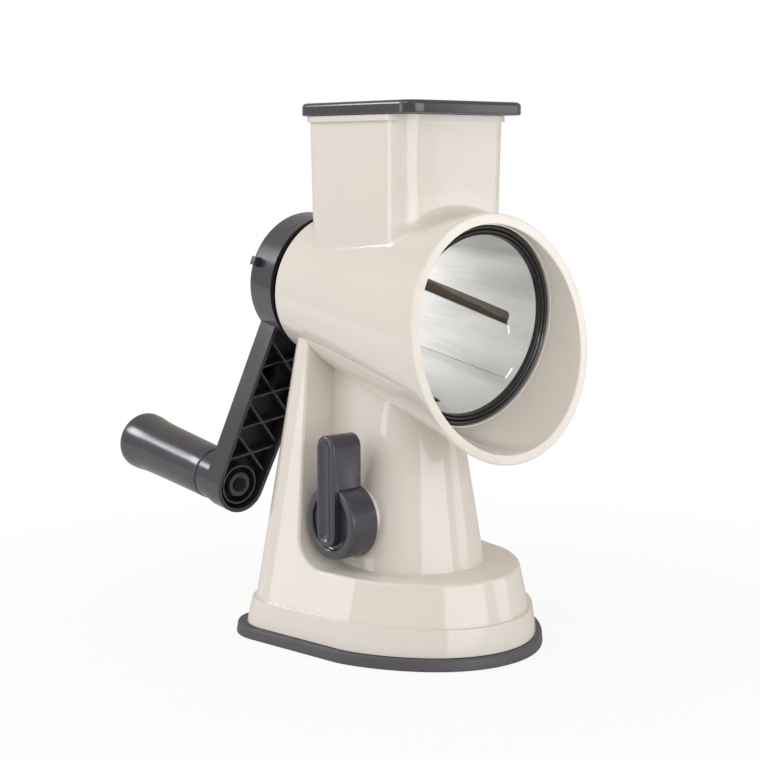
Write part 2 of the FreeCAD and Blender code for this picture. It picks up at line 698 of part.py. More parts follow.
def hood_section(thick, reach):
    """Solid under the hood's sheet: flat beside the slot, then back out to the drum's wall."""
    r = drum_r(SLOT_MIDDLE)
    edge = -SLOT_WIDTH / 2
    far = edge - HOOD_WIDTH
    sag = far * far / (2 * r)
    section = [(r + HOOD_DEPTH, edge + reach), (r - HOOD_DEPTH + thick, edge + reach),
               (r - HOOD_DEPTH + thick, edge - HOOD_FLAT), (r - sag - SHEET + thick, far),
               (r + HOOD_DEPTH, far)]
    low = SLOT_MIDDLE - HOOD_LENGTH / 2
    return Part.Face(polygon([(x, y, low) for x, y in section])).extrude(Vector(0, 0, HOOD_LENGTH))


def hood_outline(shrink):
    edge = -SLOT_WIDTH / 2
    return radial_bar(edge - HOOD_WIDTH + shrink, edge + SHEET, HOOD_LENGTH - 2 * shrink,
                      HOOD_CORNER - shrink, 3 * HOOD_DEPTH)


def hood_room():
    """Space outside the hood's sheet, where the drum's wall is pressed in."""
    return hood_section(SHEET, SHEET).common(hood_outline(SHEET))


def hood():
    return skewed(hood_section(0, 0).common(hood_outline(0)).cut(hood_room()))


def drum_cone(inside, rear, front):
    return cone(drum_r(rear) - inside, drum_r(front) - inside, rear, front)


def seam():
    rear = DRUM_REAR + HUB_SPIGOT + GAP
    band = drum_cone(SHEET, rear, SEAM_FRONT).cut(drum_cone(SHEET + SEAM_THICK, rear, SEAM_FRONT))
    half = SEAM_WIDTH / 2
    return spun(band.common(block(0, DRUM_FRONT_R, -half, half, rear, SEAM_FRONT)), SEAM_ANGLE)


def drum_shell():
    bounds = drum_cone(0, DRUM_REAR, DRUM_FRONT)
    blank = bounds.cut(drum_cone(SHEET, DRUM_REAR, DRUM_FRONT))
    step = 360.0 / SLOT_COUNT
    added = [seam()]
    for i in range(SLOT_COUNT):
        angle = SLOT_FIRST + i * step
        blank = blank.cut(spun(slot_cutter(), angle))
        blank = blank.cut(spun(skewed(hood_room()), angle))
        added.append(spun(hood(), angle).common(bounds))
    return on_axis(fused([blank] + added))


def drum_ring():
    inner = drum_r(DRUM_FRONT) + RUN
    bore = drum_r(DRUM_FRONT) - SHEET
    mid = (bore + RING_R) / 2
    profile = [
        (drum_r(RING_REAR) + RUN, RING_REAR), (RING_R, RING_REAR), (RING_R, RING_FRONT - RING_BEVEL),
        (RING_R - RING_BEVEL, RING_FRONT), (mid + RING_GROOVE_WIDE, RING_FRONT),
        (mid + RING_GROOVE_WIDE, RING_FRONT - RING_GROOVE),
        (mid, RING_FRONT - RING_GROOVE), (mid, RING_FRONT),
        (mid - RING_BEVEL, RING_FRONT), (bore, DRUM_FRONT + RUN), (inner, DRUM_FRONT + RUN)]
    return on_axis(lathe(profile))


def square_bar(across, low, high):
    half = across / 2
    return block(-half, half, -half, half, low, high)


def drum_hub():
    rear = DRUM_REAR
    r = drum_r(rear)
    cap = rod(r, rear - HUB_THICK, rear)
    spigot = drum_cone(SHEET + RUN, rear, rear + HUB_SPIGOT)
    spigot = spigot.cut(rod(r - SHEET - HUB_SPIGOT_WALL, rear, rear + HUB_SPIGOT + PAST))
    boss = rod(HUB_BOSS_R, rear - HUB_THICK, rear + HUB_BOSS_DEPTH)
    shape = fused([cap, spigot, boss])
    socket = square_bar(SQUARE + 2 * SLIDE, rear - HUB_THICK - PAST, SPINDLE_FRONT + GAP)
    return on_axis(shape.cut(socket))


# ================================================================ spindle
def spindle():
    front_end = DRUM_REAR - HUB_THICK - GAP
    middle = rod(SPINDLE_R, SPINDLE_SHOULDER, front_end)
    flange = rod(FLANGE_R, front_end - FLANGE, front_end)
    front = square_bar(SQUARE, front_end, SPINDLE_FRONT)
    rear = square_bar(SQUARE, SPINDLE_REAR, SPINDLE_SHOULDER)
    shape = fused([middle, flange, front, rear])
    latch_low = LATCH_STATION - LATCH_THICK - SLIDE
    latch_high = LATCH_STATION + SLIDE
    neck = rod(SPINDLE_R, latch_low, latch_high).cut(rod(GROOVE_R, latch_low, latch_high))
    clip_low = CLIP_STATION - SLIDE
    clip_high = CLIP_STATION + CLIP_THICK + SLIDE
    groove = rod(SPINDLE_R + SLIDE, clip_low, clip_high)
    groove = groove.cut(rod(SPINDLE_R - CLIP_GROOVE, clip_low, clip_high))
    return on_axis(shape.cut(neck).cut(groove))


def spindle_clip():
    low = CLIP_STATION
    high = low + CLIP_THICK
    shape = rod(CLIP_R, low, high).cut(rod(SPINDLE_R - CLIP_GROOVE + RUN, low, high))
    half = CLIP_MOUTH / 2
    return on_axis(shape.cut(block(-half, half, 0, CLIP_R, low, high)))


def axle_bush():
    front = BARREL_REAR + REAR_WALL + BUSH_BOSS_DEPTH - GAP
    rear = BARREL_REAR - BUSH_FLANGE
    shape = fused([rod(BUSH_R, BARREL_REAR, front), rod(BUSH_FLANGE_R, rear, BARREL_REAR)])
    return on_axis(shape.cut(rod(SPINDLE_R + RUN, rear, front)))


# ================================================================ crank
def crank_frame(shape):
    """Local X along the arm, away from the drum axis; local Z is the station."""
    return on_axis(spun(shape, 270 - CRANK_ANGLE))


def arm_outline(inset, low, high):
    """Tapered bar with a round end, from the drum axis outwards."""
    root = ARM_ROOT_HALF - inset
    end = ARM_END_R - inset
    lean = math.asin((root - end) / CRANK_THROW)
    dx = end * math.sin(lean)
    dy = end * math.cos(lean)
    a = Vector(0, -root, low)
    b = Vector(CRANK_THROW + dx, -dy, low)
    c = Vector(CRANK_THROW + end, 0, low)
    d = Vector(CRANK_THROW + dx, dy, low)
    e = Vector(0, root, low)
    edges = [Part.makeLine(a, b), Part.Arc(b, c, d).toShape(), Part.makeLine(d, e), Part.makeLine(e, a)]
    return Part.Face(Part.Wire(edges)).extrude(Vector(0, 0, high - low))


def lattice(low, high):
    """Crossed ribs between the arm's two side walls."""
    ribs = []
    half = ARM_ROOT_HALF
    lean = math.degrees(math.atan2(RIB_PITCH / 2, half - ARM_WALL))
    for i in range(RIB_COUNT):
        x = RIB_FIRST + i * RIB_PITCH
        for turn in (lean, -lean):
            rib = block(-RIB_THICK / 2, RIB_THICK / 2, -2 * half, 2 * half, low, high)
            rib.rotate(Vector(0, 0, 0), Vector(0, 0, 1), turn)
            rib.translate(Vector(x, 0, 0))
            ribs.append(rib)
    start = RIB_FIRST - RIB_PITCH
    stop = CRANK_THROW - ARM_RING_R
    window = block(start, stop, -half, half, low, high)
    return [rib.common(window) for rib in ribs]


def ring_wall(outer, thick, low, high, x):
    return rod(outer, low, high, x).cut(rod(outer - thick, low, high, x))


def crank_arm():
    cup = lathe([(0, CUP_REAR), (CUP_REAR_R, CUP_REAR), (CUP_FRONT_R, CUP_FRONT), (0, CUP_FRONT)])
    cup = rounded(cup, CUP_EDGE_ROUND, lambda e, m: abs(m.z - CUP_REAR) < SAME and e.Length > 2 * CUP_REAR_R)
    arm = arm_outline(0, ARM_REAR, ARM_FRONT)
    stub = rod(STUB_R, STUB_END, ARM_REAR + PAST, CRANK_THROW)
    outer = spun(fused([arm, stub]), 270 - CRANK_ANGLE).fuse(cup)

    floor = CUP_REAR + CUP_BACK
    cup_hollow = cone(CUP_REAR_R - CUP_WALL, CUP_FRONT_R - CUP_WALL, floor, CUP_FRONT + PAST)
    arm_floor = ARM_REAR + ARM_BACK
    rib_top = ARM_FRONT - RIB_LOW
    arm_hollow = arm_outline(ARM_WALL, arm_floor, ARM_FRONT + PAST)
    arm_hollow = arm_hollow.cut(rod(CUP_REAR_R - BURY, arm_floor - PAST, ARM_FRONT + 2 * PAST))
    ribs = fused(lattice(arm_floor - BURY, rib_top))
    boss = rod(ARM_BOSS_R, arm_floor - BURY, rib_top, CRANK_THROW)
    ring = ring_wall(ARM_RING_R, ARM_RING_THICK, arm_floor - BURY, rib_top, CRANK_THROW)
    arm_hollow = arm_hollow.cut(fused([ribs, boss, ring]))
    shape = outer.cut(cup_hollow).cut(spun(arm_hollow, 270 - CRANK_ANGLE))
    slot_low = LATCH_STATION - LATCH_THICK - GAP
    slot_high = LATCH_STATION + GAP
    rooted = CUP_REAR + CUP_BACK - BURY
    hub = rod(CUP_BOSS_R, rooted, slot_low)
    shape = shape.fuse(hub)
    nose = rod(CUP_BOSS_R, slot_high, CUP_FRONT)
    reach = CUP_REAR_R - BURY
    web = block(-reach, reach, -WEB_THICK / 2, WEB_THICK / 2, rooted, CUP_FRONT - WEB_LOW)
    webs = [spun(web, LATCH_ANGLE + 45), spun(web, LATCH_ANGLE + 135)]
    clear = rod(LATCH_RING_R + LATCH_TRAVEL + LATCH_ROOM, slot_low, slot_high)
    webs = [w.cut(clear) for w in webs]
    shape = fused([shape, nose] + webs)
    socket = square_bar(SQUARE + 2 * SLIDE, SPINDLE_REAR - GAP, CUP_FRONT + PAST)
    shape = shape.cut(socket)
    slot_half = LATCH_WIDTH / 2 + GAP
    slot = block(CUP_REAR_R - 2 * CUP_WALL, LATCH_TIP, -slot_half, slot_half, slot_low, slot_high)
    shape = shape.cut(spun(slot, LATCH_ANGLE))
    pin_hole = spun(rod(PIN_R + RUN, STUB_END, ARM_FRONT, CRANK_THROW), 270 - CRANK_ANGLE)
    return on_axis(shape.cut(pin_hole))


def grip_pin():
    """Shoulder pin riveted in the arm; the grip turns on it."""
    shank = rod(PIN_R, PIN_END, ARM_FRONT - RIB_LOW + PAST, CRANK_THROW)
    head = rod(PIN_HEAD_R, PIN_END - PIN_HEAD, PIN_END, CRANK_THROW)
    return crank_frame(shank.fuse(head).removeSplitter())


def grip():
    """Slow taper from the arm, then a curve out to the flare, with a counterbore for the pin's head."""
    front = STUB_END - GRIP_GAP
    flow = Part.BSplineCurve()
    flow.interpolate([Vector(r, 0, s) for r, s in (
        (GRIP_R, front), (GRIP_FAR_R, GRIP_WAIST), (GRIP_FLARE_R, GRIP_FLARE), (GRIP_FLARE_R, GRIP_END))])
    rear = Part.makePolygon([Vector(GRIP_FLARE_R, 0, GRIP_END), Vector(0, 0, GRIP_END), Vector(0, 0, front),
                             Vector(GRIP_R, 0, front)])
    half = Part.Face(Part.Wire([flow.toShape()] + rear.Edges))
    shape = half.revolve(Vector(0, 0, 0), Vector(0, 0, 1), 360)
    shape = rounded(shape, GRIP_END_ROUND, lambda e, m: abs(m.z - GRIP_END) < BURY and abs(m.x) > PIN_HEAD_R)
    shape = rounded(shape, GRIP_FRONT_ROUND, lambda e, m: abs(m.z - front) < BURY and abs(m.x) > PIN_HEAD_R)
    shape = shape.cut(rod(CAP_R, GRIP_END, PIN_END + GAP)).cut(rod(PIN_R + RUN, GRIP_END, front))
    shape.translate(Vector(CRANK_THROW, 0, 0))
    return crank_frame(shape)


def grip_cap():
    low = GRIP_END
    return crank_frame(rod(CAP_R - SLIDE, low, low + CAP_THICK, CRANK_THROW))


def release_latch():
    """Flat slide with a keyhole round the spindle's neck and a tip for the finger."""
    low = LATCH_STATION - LATCH_THICK
    ring = rod(LATCH_RING_R, low, LATCH_STATION)
    bar = block(0, LATCH_TIP, -LATCH_WIDTH / 2, LATCH_WIDTH / 2, low, LATCH_STATION)
    shape = fused([ring, bar])
    hole = GROOVE_R + GAP
    keyhole = fused([rod(hole, low - PAST, LATCH_STATION + PAST),
                     rod(hole, low - PAST, LATCH_STATION + PAST, LATCH_TRAVEL),
                     block(0, LATCH_TRAVEL, -hole, hole, low - PAST, LATCH_STATION + PAST)])
    return on_axis(spun(shape.cut(keyhole), LATCH_ANGLE))


# ================================================================ pusher
def pusher_plug():
    top = HOPPER_TOP - SPIGOT_DEPTH
    half_x = HOPPER_HALF_X - HOPPER_WALL - PLUG_GAP
    half_y = HOPPER_HALF_Y - HOPPER_WALL - PLUG_GAP
    corner = HOPPER_CORNER - HOPPER_WALL - PLUG_GAP
    low = AXIS_HEIGHT
    full = HOPPER_TOP - GAP
    outer = tapered_box(half_x, half_y, corner, low, full, HOPPER_DRAFT)
    inner = tapered_box(half_x - PLUG_WALL, half_y - PLUG_WALL, corner - PLUG_WALL,
                        low, full + PAST, HOPPER_DRAFT)
    over = on_axis(drum_cone(-PLUG_OVER_DRUM, DRUM_REAR, DRUM_FRONT))
    roof = on_axis(drum_cone(-PLUG_OVER_DRUM - PLUG_WALL, DRUM_REAR, DRUM_FRONT))
    return outer.cut(over).cut(inner.cut(roof))


def pusher_plate():
    low = HOPPER_TOP + GAP
    plate = prism(PLATE_HALF_X, -PLATE_FRONT, PLATE_REAR, PLATE_CORNER, low, low + PLATE_THICK)
    plate = rounded(plate, PLATE_TOP_ROUND, lambda e, m: abs(m.z - low - PLATE_THICK) < SAME)
    half_x = HOPPER_HALF_X - HOPPER_WALL - PLUG_GAP - PLUG_WALL - SLIDE
    half_y = HOPPER_HALF_Y - HOPPER_WALL - PLUG_GAP - PLUG_WALL - SLIDE
    corner = HOPPER_CORNER - HOPPER_WALL - PLUG_GAP - PLUG_WALL - SLIDE
    spigot = prism(half_x, -half_y, half_y, corner, low - SPIGOT_DEPTH, low)
    hollow = prism(half_x - PLUG_WALL, -half_y + PLUG_WALL, half_y - PLUG_WALL, corner - PLUG_WALL,
                   low - SPIGOT_DEPTH - PAST, low)
    return fused([plate, spigot]).cut(hollow)


# ================================================================ write the pieces
PIECES = {
    "base_shell": base_shell,
    "head_housing": head_housing,
    "suction_pad": suction_pad,
    "base_plate": base_plate,
    "base_screws": base_screws,
    "head_screws": head_screws,
    "suction_stem": suction_stem,
    "cam_shaft": cam_shaft,
    "suction_knob": knob,
    "axle_bush": axle_bush,
    "spindle": spindle,
    "spindle_clip": spindle_clip,
    "drum_shell": drum_shell,
    "drum_ring": drum_ring,
    "drum_hub": drum_hub,
    "crank_arm": crank_arm,
    "release_latch": release_latch,
    "grip_pin": grip_pin,
    "grip": grip,
    "grip_cap": grip_cap,
    "pusher_plug": pusher_plug,
    "pusher_plate": pusher_plate,
}

os.makedirs("parts", exist_ok=True)
for name, make in PIECES.items():
    solid = make()
    solid.exportStep("parts/" + name + ".step")
    print(name, "solids", len(solid.Solids), "valid", solid.isValid(), "volume", round(solid.Volume, 1))
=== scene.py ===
import math

import bpy
from mathutils import Matrix, Vector


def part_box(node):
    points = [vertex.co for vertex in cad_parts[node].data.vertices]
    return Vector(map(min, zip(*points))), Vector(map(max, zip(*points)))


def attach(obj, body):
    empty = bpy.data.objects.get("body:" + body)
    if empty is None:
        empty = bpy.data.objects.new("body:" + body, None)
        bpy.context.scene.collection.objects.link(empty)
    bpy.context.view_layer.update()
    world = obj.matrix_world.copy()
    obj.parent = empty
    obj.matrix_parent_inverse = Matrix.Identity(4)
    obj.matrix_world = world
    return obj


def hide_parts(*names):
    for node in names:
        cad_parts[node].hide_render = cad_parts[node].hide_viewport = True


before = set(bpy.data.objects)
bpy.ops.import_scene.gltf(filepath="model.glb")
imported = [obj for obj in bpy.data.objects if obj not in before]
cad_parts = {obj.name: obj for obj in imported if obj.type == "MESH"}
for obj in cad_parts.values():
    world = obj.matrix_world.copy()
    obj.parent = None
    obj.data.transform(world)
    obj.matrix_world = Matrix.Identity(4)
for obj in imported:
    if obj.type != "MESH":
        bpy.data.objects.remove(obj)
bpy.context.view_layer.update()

# Sizes are in millimetres where they are multiplied by MM, and in metres elsewhere.
MM = 0.001
DRUM_TILT = math.radians(6.9)
DRUM_AXIS = (math.radians(90) + DRUM_TILT, 0.0, 0.0)
DRUM_CENTRE = (0.0, 0.0, 0.1786)
DRUM_TAPER = 0.12
CHAMBER_WALL = (45.0, 45.6)     # radii, at the drum's middle, between which the painted shade on the chamber wall begins
KNOB_CENTRE = (0.0, -0.0014, 0.0677)
CRANK_TURN = math.radians(270.0 - 21.2)
CRANK_THROW = 124.7
TOUCHING = 1e-6

IVORY = (0.805, 0.768, 0.71)
# painted shade: dark warm colour for the chamber wall round the drum, which in the real object is ivory in
# shade
CHAMBER_PAINTED_SHADE = (0.20, 0.165, 0.125)
CHARCOAL = (0.027, 0.028, 0.044)
# painted shade for the faces inside the crank arm's hollow
HOLLOW_PAINTED_SHADE = (0.006, 0.006, 0.007)
RING_BLACK = (0.010, 0.010, 0.011)
PAD_GREY = (0.058, 0.058, 0.07)
INNER_GREY = (0.14, 0.14, 0.15)
HUB_WHITE = (0.88, 0.88, 0.86)
BUSH_BLACK = (0.03, 0.03, 0.032)
PIN_BLACK = (0.03, 0.03, 0.032)
DRUM_STEEL = (0.95, 0.95, 0.945)
SHAFT_STEEL = (0.56, 0.56, 0.56)
SCREW_STEEL = (0.5, 0.5, 0.52)

OBJECT_MIDDLE = (0.0, 0.0, 0.14)
WHITE = (1.0, 1.0, 1.0, 1.0)
WORLD_TINT = (1.0, 0.92, 0.80, 1.0)
WORLD_STRENGTH = 0.58
LAMP_TINT = (0.97, 1.0, 1.08)
FLOOR_SIZE = 6.0
CAMERA_PLACE = (-0.5657, -0.6497, 0.2570)
CAMERA_TURN = (math.radians(90 - 7.84), 0.0, math.radians(-40.16))
CAMERA_LENS = 76.3
CAMERA_SENSOR = 36.0


# ------------------------------------------------------------ working by hand
def deselect():
    if bpy.context.object and bpy.context.object.mode != "OBJECT":
        bpy.ops.object.mode_set(mode="OBJECT")
    bpy.ops.object.select_all(action="DESELECT")


def pick(obj):
    deselect()
    obj.select_set(True)
    bpy.context.view_layer.objects.active = obj


def settle(obj, turn=(0.0, 0.0, 0.0), place=(0.0, 0.0, 0.0)):
    """Turn and move a piece, then leave its place in its mesh."""
    pick(obj)
    obj.rotation_euler = turn
    obj.location = place
    bpy.ops.object.transform_apply(location=True, rotation=True, scale=True)


def modify(obj, kind, **settings):
    pick(obj)
    modifier = obj.modifiers.new(kind.lower(), kind)
    for key, value in settings.items():
        setattr(modifier, key, value)
    bpy.ops.object.modifier_apply(modifier=modifier.name)


def edit(obj):
    pick(obj)
    bpy.ops.object.mode_set(mode="EDIT")
    bpy.ops.mesh.select_all(action="DESELECT")


def choose(obj, kind, test):
    """Select edges by their two ends, or faces by their middle point and normal."""
    bpy.ops.mesh.select_mode(type={"edges": "EDGE", "faces": "FACE"}[kind])
    bpy.ops.mesh.select_all(action="DESELECT")
    bpy.ops.object.mode_set(mode="OBJECT")
    mesh = obj.data
    if kind == "edges":
        for edge in mesh.edges:
            a, b = (mesh.vertices[i].co for i in edge.vertices)
            edge.select = test(a, b)
    else:
        for face in mesh.polygons:
            face.select = test(face.center, face.normal)
    bpy.ops.object.mode_set(mode="EDIT")


def finish_mesh(obj, angle=35.0):
    pick(obj)
    bpy.ops.object.mode_set(mode="EDIT")
    bpy.ops.mesh.select_all(action="SELECT")
    bpy.ops.mesh.remove_doubles(threshold=1e-6)
    bpy.ops.mesh.normals_make_consistent(inside=False)
    bpy.ops.object.mode_set(mode="OBJECT")
    bpy.ops.object.shade_smooth_by_angle(angle=math.radians(angle))


def box(low, high):
    """A plain block between two corners, ready to be shaped."""
    deselect()
    middle = tuple((a + b) / 2 for a, b in zip(low, high))
    bpy.ops.mesh.primitive_cube_add(size=1.0, location=middle)
    obj = bpy.context.object
    obj.scale = tuple(b - a for a, b in zip(low, high))
    bpy.ops.object.transform_apply(location=True, rotation=True, scale=True)
    return obj


def turned(name, profile, steps=144):
    """A turned piece about Z, spun from (radius, height) points in millimetres."""
    deselect()
    bpy.ops.mesh.primitive_plane_add(size=MM, location=(0, 0, 0))
    obj = bpy.context.object
    obj.name = name
    bpy.ops.object.mode_set(mode="EDIT")
    bpy.ops.mesh.select_mode(type="VERT")
    bpy.ops.mesh.select_all(action="SELECT")
    bpy.ops.mesh.merge(type="CENTER")
    bpy.ops.transform.translate(value=(profile[0][0] * MM, 0, profile[0][1] * MM))
    for (r0, z0), (r1, z1) in zip(profile, profile[1:]):
        step = ((r1 - r0) * MM, 0, (z1 - z0) * MM)
        bpy.ops.mesh.extrude_vertices_move(TRANSFORM_OT_translate={"value": step})
    bpy.ops.mesh.select_all(action="SELECT")
    bpy.ops.mesh.spin(steps=steps, angle=2 * math.pi, center=(0, 0, 0), axis=(0, 0, 1))
    finish_mesh(obj)
    return obj


def rounded_corner(centre, radius, start, stop, steps=6):
    """Points of a small arc in a profile, angles in degrees."""
    points = []
    for i in range(steps + 1):
        a = math.radians(start + (stop - start) * i / steps)
        points.append((centre[0] + radius * math.cos(a), centre[1] + radius * math.sin(a)))
    return points


def moulding(node, name, edge, angle=32.0):
    """A dressed copy of a frame node: merged, its sharp edges eased, shaded smooth."""
    deselect()
    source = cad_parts[node]
    obj = bpy.data.objects.new(name, source.data.copy())
    obj.data.materials.clear()
    bpy.context.scene.collection.objects.link(obj)
    pick(obj)
    bpy.ops.object.mode_set(mode="EDIT")
    bpy.ops.mesh.select_all(action="SELECT")
    bpy.ops.mesh.remove_doubles(threshold=2e-6)
    bpy.ops.mesh.dissolve_limited(angle_limit=math.radians(0.4))
    bpy.ops.object.mode_set(mode="OBJECT")
    modify(obj, "BEVEL", width=edge * MM, segments=2, limit_method="ANGLE",
           angle_limit=math.radians(40), harden_normals=False, use_clamp_overlap=True)
    pick(obj)
    bpy.ops.object.shade_smooth_by_angle(angle=math.radians(angle))
    modify(obj, "WEIGHTED_NORMAL", keep_sharp=True)
    return obj


# ------------------------------------------------------------ finishes
class Wire:
    """A node's socket that can be used in sums."""

    def __init__(self, finish, socket):
        self.finish = finish
        self.socket = socket

    def sum(self, operation, first, second):
        return self.finish.node("ShaderNodeMath", {"operation": operation}, first, second)

    def __add__(self, other):
        return self.sum("ADD", self, other)

    __radd__ = __add__

    def __mul__(self, other):
        return self.sum("MULTIPLY", self, other)

    __rmul__ = __mul__

    def __sub__(self, other):
        return self.sum("SUBTRACT", self, other)

    def __rsub__(self, other):
        return self.sum("SUBTRACT", other, self)


class Finish:
    """One surface finish, built from nodes on Object coordinates."""

    def __init__(self, name, colour, roughness, metallic=0.0, coat=0.0, specular=0.5):
        self.material = bpy.data.materials.new(name)
        self.material.use_nodes = True
        self.tree = self.material.node_tree
        self.shader = self.tree.nodes["Principled BSDF"]
        plain = {
            "Base Color": colour + (1.0,),
            "Roughness": roughness,
            "Metallic": metallic,
            "Coat Weight": coat,
            "Specular IOR Level": specular}
        for socket, value in plain.items():
            self.shader.inputs[socket].default_value = value

    def feed(self, socket, value):
        if isinstance(value, Wire):
            self.tree.links.new(value.socket, socket)
        else:
            socket.default_value = value

    def node(self, kind, settings, *values, out=0, **named):
        """A node of a kind, its settings first, then the values or wires of its sockets."""
        made = self.tree.nodes.new(kind)
        for key, value in settings.items():
            setattr(made, key, value)
        for i, value in enumerate(values):
            self.feed(made.inputs[i], value)
        for key, value in named.items():
            self.feed(made.inputs[int(key) if key.isdigit() else key], value)
        return Wire(self, made.outputs[out])

    def place(self, scale=(1.0, 1.0, 1.0), turn=(0.0, 0.0, 0.0), at=(0.0, 0.0, 0.0)):
        """Object coordinates seen from a centre and turn, then stretched."""
        spot = self.node("ShaderNodeTexCoord", {}, out=3)
        turned_spot = self.node("ShaderNodeMapping", {"vector_type": "TEXTURE"}, spot,
                                Location=at, Rotation=turn)
        return self.node("ShaderNodeMapping", {"vector_type": "POINT"}, turned_spot, Scale=scale)

    def noise(self, vector, scale, detail=3.0, roughness=0.5, distortion=0.0):
        return self.node("ShaderNodeTexNoise", {}, vector, Scale=scale, Detail=detail,
                         Roughness=roughness, Distortion=distortion)

    def ramp(self, value, low, high, from_low, from_high):
        """A smooth change from low to high while the value goes from from_low to from_high."""
        return self.node("ShaderNodeMapRange", {"interpolation_type": "SMOOTHSTEP"}, value,
                         from_low, from_high, low, high)

    def blend(self, factor, first, second):
        parts = {"0": factor, "6": first, "7": second}
        return self.node("ShaderNodeMix", {"data_type": "RGBA"}, out=2, **parts)

    def length(self, vector):
        return self.node("ShaderNodeVectorMath", {"operation": "LENGTH"}, vector, out=1)

    def colour_by(self, factor, first, second):
        tone = self.blend(factor, first + (1.0,), second + (1.0,))
        self.feed(self.shader.inputs["Base Color"], tone)
        return tone

    def roughness_by(self, value):
        self.feed(self.shader.inputs["Roughness"], value)

    def bump(self, height, strength, distance):
        bumped = self.node("ShaderNodeBump", {}, Height=height, Strength=strength, Distance=distance)
        self.feed(self.shader.inputs["Normal"], bumped)


def shade(colour, share):
    return tuple(min(1.0, c * share) for c in colour)


def painted_chamber_shade(f):
    """Mask of the painted shade: one on the wall of the chamber round the drum, nothing on the rest of the
    head.
    """
    station = f.node("ShaderNodeSeparateXYZ", {}, f.place((1.0, 1.0, 1.0), DRUM_AXIS, DRUM_CENTRE), out=2)
    radius = f.length(f.place((1.0, 1.0, 0.0), DRUM_AXIS, DRUM_CENTRE))
    inner, outer = CHAMBER_WALL
    return f.ramp(radius - station * DRUM_TAPER, 1.0, 0.0, inner * MM, outer * MM)


def gloss_moulding(name, colour, roughness=0.09, chamber=None):
    """Glossy moulded plastic: faint flow marks, a trace of moulding ripple and hairline wear; given a chamber
    colour, painted shade on the chamber wall round the drum.
    """
    f = Finish(name, colour, roughness, coat=0.4)
    spot = f.place()
    cloud = f.noise(spot, scale=14.0, detail=2.0, roughness=0.45)
    tone = f.colour_by(cloud, shade(colour, 0.975), shade(colour, 1.02))
    # painted shade: the chamber wall round the drum takes a dark colour where shade falls
    if chamber:
        f.feed(f.shader.inputs["Base Color"], f.blend(painted_chamber_shade(f), tone, chamber + (1.0,)))
    grain = f.noise(spot, scale=900.0, detail=2.0)
    rubs = f.noise(f.place((1.0, 1.0, 0.18)), scale=260.0, detail=4.0, roughness=0.6, distortion=0.4)
    f.roughness_by(f.ramp(rubs, roughness - 0.02, roughness + 0.06, 0.35, 0.8) + grain * 0.03)
    ripple = f.noise(spot, scale=26.0, detail=1.0, roughness=0.3)
    f.bump(ripple * 0.8 + grain * 0.02, strength=0.06, distance=0.001)
    return f.material


def satin_moulding(name, colour, roughness=0.18, grain_size=1500.0, depth=0.015, specular=1.0):
    """Spark-textured dark plastic: fine even grain with a soft sheen and worn high spots."""
    f = Finish(name, colour, roughness, specular=specular)
    spot = f.place()
    grain = f.noise(spot, scale=grain_size, detail=2.0, roughness=0.6)
    cloud = f.noise(spot, scale=30.0)
    f.colour_by(cloud, shade(colour, 0.92), shade(colour, 1.1))
    f.roughness_by(f.ramp(cloud, roughness - 0.02, roughness + 0.03, 0.3, 0.7) + grain * 0.04)
    f.bump(grain, strength=depth, distance=0.0002)
    return f.material


def rolled_steel(name, colour, roughness=0.30):
    """Polished sheet rolled to a cone: soft polishing streaks and slight waves along the roll, with painted
    reflection bands in the colour along the waves.
    """
    f = Finish(name, colour, roughness, metallic=0.7)
    along_roll = f.place((1.0, 1.0, 0.04), DRUM_AXIS, DRUM_CENTRE)
    streaks = f.noise(along_roll, scale=420.0, roughness=0.55)
    waves_spot = f.place((1.0, 1.0, 0.12), DRUM_AXIS, DRUM_CENTRE)
    waves = f.noise(waves_spot, scale=60.0, detail=1.5, roughness=0.4, distortion=0.3)
    # polishing streaks, and painted reflection: light and dark colour bands along the waves stand in for the
    # wavy sheet's reflections
    polish_and_painted_reflection = f.ramp(waves * 0.8 + streaks * 0.2, 0.0, 1.0, 0.32, 0.62)
    f.colour_by(polish_and_painted_reflection, shade(colour, 0.80), shade(colour, 1.03))
    f.roughness_by(f.ramp(streaks, roughness - 0.02, roughness + 0.03, 0.3, 0.7))
    f.bump(waves, strength=0.25, distance=0.001)
    return f.material


def turned_steel(name, colour, roughness=0.28):
    """Bright turned or plated steel with a fine machining grain."""
    f = Finish(name, colour, roughness, metallic=1.0)
    lines = f.noise(f.place((0.3, 6.0, 6.0)), scale=700.0, detail=2.0, roughness=0.6)
    cloud = f.noise(f.place(), scale=60.0)
    f.colour_by(cloud, shade(colour, 0.88), shade(colour, 1.08))
    f.roughness_by(f.ramp(lines, roughness - 0.06, roughness + 0.1, 0.3, 0.7))
    f.bump(lines, strength=0.08, distance=0.0002)
    return f.material


ivory_gloss = gloss_moulding("ivory_gloss", IVORY)
# the head's finish carries painted shade on its chamber wall
ivory_head_painted_shade = gloss_moulding("ivory_head_painted_shade", IVORY, chamber=CHAMBER_PAINTED_SHADE)
